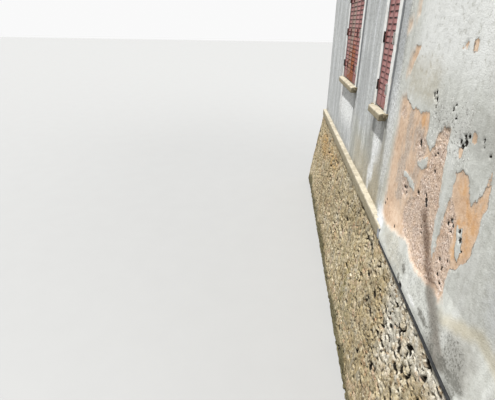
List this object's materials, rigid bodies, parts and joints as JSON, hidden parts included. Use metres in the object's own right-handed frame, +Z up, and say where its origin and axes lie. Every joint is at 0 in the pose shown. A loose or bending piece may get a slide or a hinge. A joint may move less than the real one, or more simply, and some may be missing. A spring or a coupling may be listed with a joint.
{
  "type": "riverside mill house",
  "caption": "Riverside mill house with a battered rubble base, peeling rendered walls, louvred folding shutters and a gabled tile roof.",
  "frame": {"origin": "middle of the house at the water line, on the level that the base walls stand on", "axes": "+X along the river front from its far corner to its near corner, +Y from the river to the landward front, +Z up"},
  "size_m": [8.916, 7.408, 11.242],
  "materials": {
    "rubble": "rough",
    "lime_render": "matte",
    "limestone": "honed and weathered",
    "lead": "dull",
    "white_band": "painted",
    "shutter_paint": "faded",
    "black_iron": "painted",
    "painted_wood": "faded paint",
    "timber": "weathered",
    "roof_tile": "matte",
    "zinc": "dull",
    "brick": "rough"
  },
  "bodies": {
    "root": {"river_base_wall": "rubble", "landward_base_wall": "rubble", "near_base_wall": "rubble", "far_base_wall": "rubble", "river_wall": "lime_render", "landward_wall": "lime_render", "near_gable_wall": "lime_render", "far_gable_wall": "lime_render", "river_string_course": "limestone", "landward_string_course": "limestone", "end_string_courses": "limestone", "wide_window_sill": "limestone", "narrow_window_sill": "limestone", "ground_window_sills": "limestone", "upper_window_sills": "limestone", "door_threshold": "limestone", "chimney_cap": "limestone", "lead_flashing": "lead", "wide_window_surround": "white_band", "narrow_window_surround": "white_band", "ground_window_surrounds": "white_band", "upper_window_surrounds": "white_band", "door_surround": "white_band", "wide_shutter_leaf_1": "shutter_paint", "wide_shutter_leaf_2": "shutter_paint", "wide_shutter_leaf_3": "shutter_paint", "wide_shutter_leaf_4": "shutter_paint", "narrow_shutter_leaf_1": "shutter_paint", "narrow_shutter_leaf_2": "shutter_paint", "ground_shutters": "shutter_paint", "upper_shutters": "shutter_paint", "river_shutter_hinges": "black_iron", "ground_shutter_hinges": "black_iron", "upper_shutter_hinges": "black_iron", "door_ironwork": "black_iron", "door_leaf": "painted_wood", "door_frame": "painted_wood", "ground_floor": "timber", "upper_floor": "timber", "rafters": "timber", "ridge_beam": "timber", "river_roof_slope": "roof_tile", "landward_roof_slope": "roof_tile", "ridge_tiles": "roof_tile", "chimney_pots": "roof_tile", "gutters": "zinc", "downpipes": "zinc", "chimney_stack": "brick"}
  },
  "joints": []
}
